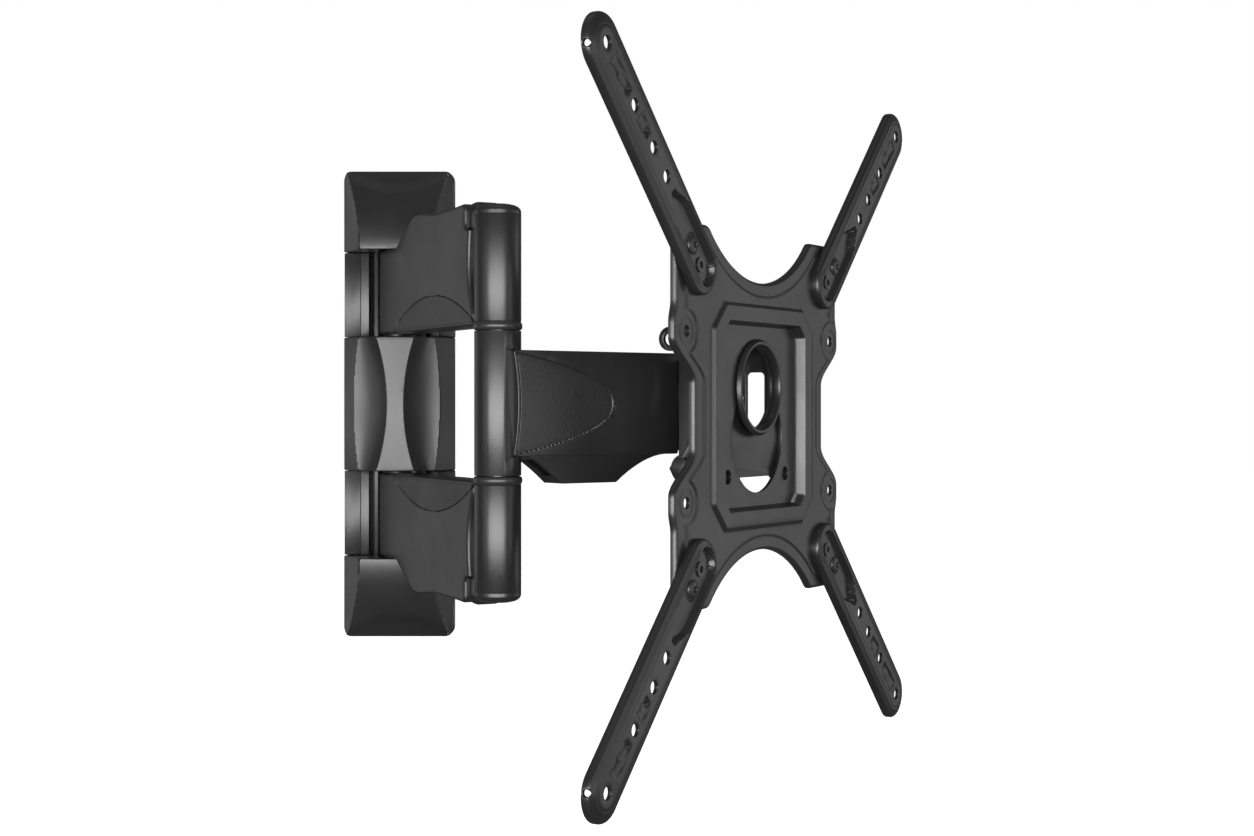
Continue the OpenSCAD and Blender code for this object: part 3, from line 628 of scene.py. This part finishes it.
def plate_height(a, b):
    """The sunk floor, the ridge round it, a lower band along the edge, and bosses at the side holes."""
    inner = smooth((box_gap(a, b, *FLOOR_BOX) + 0.9) / 2.4)
    outer = 1 - smooth((box_gap(a, b, *RIDGE_BOX) + 1.0) / 3.0)
    h = FLOOR + (PLATE_FRONT - FLOOR) * inner + RIDGE_RISE * inner * outer
    hole = np.hypot(np.abs(a) - SIDE_U, np.abs(b) - SIDE_V)
    band = smooth((np.minimum(edge_gap(a, b), hole - 4.0) - 8.0) / 1.8)
    boss = 1 - smooth((hole - 7.0) / 1.8)
    return h - 0.9 * (1 - band) + 0.5 * boss


def edge_gap(a, b):
    """Distance in from the plate's outline, about."""
    u, v = np.abs(a), np.abs(b)
    scoop = np.hypot(u, v - TOP_V - TOP_R) - TOP_R
    return np.minimum(np.minimum(scoop, (side_edge(v) - u) * 0.8), PLATE_HALF - v)


def keyhole():
    """Outline of the big opening: a circle about the collar, joined to one below it."""
    r0, r1, v1 = 28.2, 34.5, -13.2
    gap = COLLAR_V - v1
    y = (r0 ** 2 - r1 ** 2 + gap ** 2) / (2 * gap)
    a0 = math.degrees(math.acos(y / r0))
    a1 = math.degrees(math.acos((gap - y) / r1))
    upper = arc(0, COLLAR_V, r0, -90 + a0, 270 - a0, 60)
    lower = arc(0, v1, r1, 90 + a1, 450 - a1, 44)
    return upper + lower[1:-1]


plate_holes = [keyhole()] + [circle(u, SCREW_V, 4.3, 28) for u in (-SCREW_U, SCREW_U)]
plate_holes += [circle(u, v, 3.3, 28) for u in (-SIDE_U, SIDE_U) for v in (-SIDE_V, SIDE_V)]
plate_holes += [circle(su * t, sv * t, 3.0, 20)
                for su in (-1, 1) for sv in (-1, 1) for t in (RIVET_T, BOLT_T)]
plate = pressed("pressed_plate", four_ways(plate_quarter()), plate_height, PLATE, plate_holes,
                radius=2.5, thick=SHEET, back=PLATE_FRONT - 5.0, coarse=6, fine=1.1)
put(plate, "screen_plate")

# ---------- wall covers ----------
WALL_HALF, WALL_SIDE, RIDGE = 38.0, 29.5, 55.0  # half width, depth of the sides and of the ridge
DRAW = 3.0                                      # how far the sides draw in towards the wall
CAP_LOW, CAP_HIGH, GAP_LOW = 103.7, 158.0, 45.2
COVER = 2.0                                     # wall thickness of a moulded cover
LIP, BACK = 0.6, 0.3


def to_wall(co):
    """Moves a point of a wall cover for its sides to draw in."""
    t = min(1.0, max(0.0, co.z / WALL_SIDE))
    return Vector((co.x * (1 - DRAW / WALL_HALF * (1 - t)), co.y, co.z))


def soft_min(p, q, width):
    """The lower of p and q, rounded where they meet."""
    h = np.clip(0.5 + 0.5 * (q - p) / width, 0, 1)
    return q + (p - q) * h - width * h * (1 - h)


def cap_depth(a, b):
    """A face that leans back to a crease, between sides that flare outwards."""
    up = np.clip((b - 106) / 50, 0, None)
    lean = RIDGE - 15.0 * up ** 1.7
    crease = 140.7 + 9.7 * (a / 31) ** 2
    lean = lean - 1.3 * smooth((b - crease) / 9)
    half = 24.2 + 8.6 * np.clip((b - 104) / 48, 0, None) ** 2
    side = WALL_SIDE + (WALL_HALF - np.abs(a)) * (lean - WALL_SIDE) / (WALL_HALF - half)
    return soft_min(lean, side, 0.7)


def centre_depth(a, b):
    """A waisted ridge between two scoops."""
    q = np.clip(np.abs(b) / GAP_LOW, 0, 1) ** 2
    ridge, rim = 5.4 + 7.4 * q, 29.2 - 3.2 * q
    across = np.abs(a)
    u = np.clip((across - ridge) / (rim - ridge), 0, 1)
    scoop = 47.4 + (RIDGE + 1 - 47.4) * (0.72 * (1 - u) ** 2.2 + 0.28 * (1 - u))
    rim_depth = 47.4 - 0.9 * smooth((across - rim) / 1.5)
    side = WALL_SIDE + (WALL_HALF - across) * (46.5 - WALL_SIDE) / (WALL_HALF - rim)
    return np.where(across < ridge, RIDGE + 1, np.where(across < rim, scoop, np.minimum(rim_depth, side)))


def upright(low, high, radii):
    """Outline of a wall cover from height low to high."""
    corners = [(-WALL_HALF, low), (WALL_HALF, low), (WALL_HALF, high), (-WALL_HALF, high)]
    return filleted(corners, radii)


CHANNEL_ROOM = (17.9, 30)                       # half width and depth
WALL_PLATE_ROOM = (31.8, 3.4)
PIVOT_ROOM, PIVOT_DEPTH = 10.3, 42              # radius, and distance from the wall


def open_end(obj, place, low, high):
    """Clears the end wall between low and high round the channel, the wall plate and the pivot barrel."""
    for half, depth in (CHANNEL_ROOM, WALL_PLATE_ROOM):
        bm = box((-half, low, -2), (half, high, depth))
        bm.transform(place)
        if place.determinant() < 0:
            bmesh.ops.reverse_faces(bm, faces=bm.faces)
        cut(obj, bm)
    turn = Matrix.Rotation(math.pi / 2, 4, "X")
    middle = Matrix.Translation((0, (low + high) / 2, PIVOT_DEPTH))
    punch(obj, place @ middle @ turn, PIVOT_ROOM, (high - low) / 2)


for name, level in (("top_cap", 1), ("bottom_cap", -1)):
    place = WALL @ Matrix.Scale(level, 4, (0, 1, 0))
    outline = upright(CAP_LOW, CAP_HIGH, [0.8, 0.8, 6.5, 6.5])
    cap = pressed("moulded_" + name, outline, cap_depth, place, radius=0.7, thick=COVER, back=BACK,
                  coarse=5, fine=1.0, warp=to_wall)
    open_end(cap, place, CAP_LOW - 1, CAP_LOW + COVER + LIP)
    put(cap, name)

cover = pressed("moulded_centre", upright(-GAP_LOW, GAP_LOW, 0.8), centre_depth, WALL, radius=0.7,
                thick=COVER, back=BACK, coarse=5, fine=0.6, warp=to_wall)
for low, high in ((-GAP_LOW - 1, -GAP_LOW + COVER + LIP), (GAP_LOW - COVER - LIP, GAP_LOW + 1)):
    open_end(cover, WALL, low, high)
put(cover, "centre_cover")

# ---------- inner arm covers ----------
INNER_LOW, INNER_HIGH, INNER_TOP, INNER_HALF = 46.6, 103.0, 120.5, 12.0
ARCH_PEAK, ARCH_REACH, ARCH_RISE = 94.0, 71.0, 20.0
SILL = 1.5                                      # the strip below the arch
END_S = 153.0
POST_S, POST_R = 171.0, 15.0                    # the post's axis and radius
HOOK_S, HOOK_Z = 148.3, 105.0                   # the covers leave the round end of the frame free


def arch_top(s):
    """Height of the arch at distance s along the arm."""
    return INNER_LOW + SILL + ARCH_RISE * (1 - ((s - ARCH_PEAK) / ARCH_REACH) ** 2)


def end_edge(z):
    """Edge of the cover beside the post at height z."""
    t = (z - INNER_LOW) / 76.0
    return END_S + np.where(t < 0.5, 12 * (1 - 2 * t) ** 2, 30 * (t - 0.5) ** 2)


def in_arch(a, b, gap):
    """Distance inside the arch panel, about."""
    return np.minimum(np.minimum((arch_top(a) - b) * 0.85, b - INNER_LOW - SILL), end_edge(b) - 1.6 - a) - gap


def inner_height(a, b):
    """Round at the pivot, then a side that bulges a little, with the arch sunk into it."""
    c = np.where(a > 0, INNER_HALF, np.sqrt(np.clip(INNER_HALF ** 2 - a * a, 4, None)))
    along, up = (np.sin(np.clip(t, 0, 1) * math.pi) for t in ((a - 10) / 140, (b - INNER_LOW) / 70))
    return c + 0.35 * along * up - 1.0 * smooth(in_arch(a, b, 0.0) / 0.5)


touch = POST_S - math.sqrt(POST_R ** 2 - INNER_HALF ** 2)    # where the side would meet the post
bowed = [(float(min(end_edge(z), touch)), float(z))
         for z in (INNER_LOW, *np.linspace(INNER_LOW + 8, HOOK_Z, 15))]
top_edge = [(HOOK_S, HOOK_Z), (HOOK_S, INNER_TOP + 0.4), (128, INNER_TOP - 0.6), (98, INNER_TOP - 1.0),
            (72, INNER_TOP + 1.8), (60, INNER_TOP + 1.4), (28, INNER_HIGH)]
inner_outline = filleted([(-11.4, INNER_HIGH), (-11.4, INNER_LOW)] + bowed + top_edge,
                         [2.4, 2.4, 2.6] + [0] * 14 + [2.8, 3.5, 4, 20, 30, 14, 8, 6])
inlay_edge = [(float(min(s, end_edge(arch_top(s)) - 2.4)), float(arch_top(s)) - 0.6)
              for s in np.linspace(END_S + 5, ARCH_PEAK - ARCH_REACH + 2.4, 46)]
inlay_outline = [(ARCH_PEAK - ARCH_REACH + 4, INNER_LOW + 2.0), (END_S + 7, INNER_LOW + 2.0)] + inlay_edge


def inlay_height(a, b):
    return INNER_HALF - 0.05 + 0.3 * smooth(in_arch(a, b, 0.3) / 6)


for level, word in ((1, "upper"), (-1, "lower")):
    inlays = []
    for side, hand in ((1, "left"), (-1, "right")):
        place = inner_side(level, side)
        node = word + "_arm_" + hand + "_cover"
        put(pressed("moulded_" + node, inner_outline, inner_height, place, radius=1.9, thick=COVER, back=0.1,
                    coarse=6, fine=0.9), node)
        inlays.append(pressed("inlay", inlay_outline, inlay_height, place, radius=0.35, thick=0.9,
                              coarse=5, fine=1.2))
    put(merged("grained_" + word + "_inlays", inlays), word + "_arm_inlays")

# ---------- outer arm covers ----------
OUTER_HALF, OUTER_FACE, OUTER_REAR, OUTER_END = 31.6, 13.5, 12.5, 126.0
BOW_START, BOW = 2.6, 3.3                       # the edge beside the elbow barrel bows by this much
TIP, TIP_START, TIP_POWER = 75.0, 5.0, 2.3      # the inlay's pointed end
TIP_HALF = OUTER_HALF - 1.2
RIM = 1.8                                       # the strip between the bowed edge and the inlay


def outer_outline():
    edge = [(float(BOW_START + BOW * (1 - (z / OUTER_HALF) ** 2)), float(z))
            for z in np.linspace(OUTER_HALF, -OUTER_HALF, 17)]
    square = [(OUTER_END, -OUTER_HALF), (OUTER_END, OUTER_HALF)]
    return filleted(edge + square, [2] + [0] * 15 + [2, 1.5, 1.5])


def tip_edge(t):
    """Where the inlay ends along the arm; t is 0 on the arm's axis and 1 or -1 at the inlay's corners."""
    return TIP_START + (TIP - TIP_START) * (1 - np.abs(t) ** TIP_POWER)


def in_tip(a, b):
    """Distance inside the inlay's outline, about."""
    bowed_edge = a - BOW_START - BOW - RIM + BOW * (b / OUTER_HALF) ** 2
    return np.minimum((tip_edge(b / TIP_HALF) - a) * 0.6, bowed_edge)


def outer_height(a, b):
    return OUTER_FACE - 0.9 * smooth(in_tip(a, b) / 0.5)


def level_at(c):
    """The height of a flat face."""
    return lambda a, b: np.full(a.shape, c)


tip_outline = [(float(tip_edge(t)), float(t * TIP_HALF)) for t in np.linspace(-0.97, 0.97, 61)]
tip_outline += [(float(BOW_START + BOW * (1 - t * t) + RIM), float(t * TIP_HALF))
                for t in np.linspace(0.95, -0.95, 15)]
tip_outline = inset(tip_outline, 0.35)
put(pressed("moulded_outer_front", outer_outline(), outer_height, OUTER_FRONT, radius=0.5, thick=COVER,
            back=0.1, coarse=6, fine=0.7), "outer_arm_front_cover")
put(pressed("moulded_outer_back", outer_outline(), level_at(OUTER_REAR), OUTER_BACK, radius=1.9, thick=COVER,
            back=0.1, coarse=6, fine=2.0), "outer_arm_back_cover")
put(pressed("grained_outer_inlay", tip_outline, level_at(OUTER_FACE - 0.08), OUTER_FRONT, radius=0.25,
            thick=0.8, coarse=5, fine=2.0), "outer_arm_inlay")

# ---------- bolts of the screen arms ----------
def button_bolt():
    """A shank and a button head with a round recess, its seat at z = 0."""
    shank, reach = 3.0, 10.0
    r, h, hole = 5.75, 2.9, 1.9
    dome = [(r * math.cos(a), 0.5 + (h - 0.5) * math.sin(a)) for a in np.linspace(0, 1.12, 9)]
    recess = [(hole + 0.2, h - 0.15), (hole, h - 0.5), (hole, 1.2), (0, 0.9)]
    return lathe([(0, -reach), (shank, -reach), (shank, 0.0), (r, 0.0)] + dome + recess, 40)


parts = bmesh.new()
for su in (-1, 1):
    for sv in (-1, 1):
        bm = button_bolt()
        bm.transform(PLATE @ Matrix.Translation((su * BOLT_T, sv * BOLT_T, ARM_BACK + SHEET)))
        mesh = bpy.data.meshes.new("one")
        bm.to_mesh(mesh)
        bm.free()
        parts.from_mesh(mesh)
        bpy.data.meshes.remove(mesh)
bmesh.ops.recalc_face_normals(parts, faces=parts.faces)
put(finished("button_bolts", parts), "arm_bolts")

# ---------- camera, light and floor ----------
def area_light(name, place, aim, size_x, size_y, radiance):
    """A lit panel, size_x by size_y metres, whose power follows from its size."""
    data = bpy.data.lights.new(name, "AREA")
    data.shape = "RECTANGLE"
    data.size, data.size_y = size_x, size_y
    data.energy = radiance * math.pi * size_x * size_y
    lamp = bpy.data.objects.new(name, data)
    lamp.location = place
    lamp.visible_camera = False
    lamp.rotation_euler = (Vector(aim) - Vector(place)).to_track_quat("-Z", "Y").to_euler()
    bpy.context.collection.objects.link(lamp)


area_light("front", (0.0, -1.5, -0.06), (0.0, 0, -0.06), 2.2, 0.55, 12.0)
area_light("left_front", (-1.15, -0.9, 0.0), (0.1, -0.15, 0), 0.5, 0.7, 1.2)
area_light("right", (1.84, -0.71, 0.0), (0.12, -0.18, 0), 0.75, 0.9, 1.6)
area_light("right_back", (1.87, 0.50, 0.0), (0.24, -0.13, 0), 1.15, 1.3, 0.8)
area_light("left_back", (-1.4, 0.95, 0.0), (0.05, -0.1, 0), 1.2, 1.0, 0.4)
area_light("above", (0.1, -0.3, 1.5), (0.1, -0.1, 0), 1.4, 0.9, 0.35)

world = bpy.data.worlds.new("studio")
bpy.context.scene.world = world
world.use_nodes = True
nodes, links = world.node_tree.nodes, world.node_tree.links
sky = nodes["Background"]
seen = nodes.new("ShaderNodeLightPath").outputs["Is Camera Ray"]
SKY_LIGHT, SKY_SEEN = 0.12, 1.0         # strength on the object, and as the background
links.new(spread(nodes, links, seen, 0, 1, SKY_LIGHT, SKY_SEEN), sky.inputs["Strength"])
sky.inputs["Color"].default_value = (1, 1, 1, 1)

bpy.ops.mesh.primitive_plane_add(size=14, location=(0, 0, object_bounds()[0][2] - 0.05))
floor = bpy.context.object
floor.name = "floor"
pale = bpy.data.materials.new("pale_floor")
pale.use_nodes = True
shader = pale.node_tree.nodes["Principled BSDF"]
shader.inputs["Base Color"].default_value = (0.9, 0.9, 0.9, 1)
shader.inputs["Roughness"].default_value = 1.0
shader.inputs["Emission Color"].default_value = (1, 1, 1, 1)
shader.inputs["Emission Strength"].default_value = 1.0
floor.data.materials.append(pale)
floor.visible_glossy = False
floor.visible_diffuse = False

# the photo's own camera: focal length and frame width in pixels, the sensor in millimetres
SENSOR, FRAME_WIDTH = 36.0, 1254
FOCAL = 1857.0
cam = bpy.data.cameras.new("camera")
cam.sensor_width = SENSOR
cam.lens = FOCAL / FRAME_WIDTH * SENSOR
cam.shift_y = -0.0073
camera = bpy.data.objects.new("camera", cam)
camera.location = (0.1554, -1.3, -0.00335)
camera.rotation_euler = (math.pi / 2, 0, 0)
bpy.context.collection.objects.link(camera)
bpy.context.scene.camera = camera
bpy.context.scene.view_settings.view_transform = "Standard"
bpy.context.scene.view_settings.look = "None"
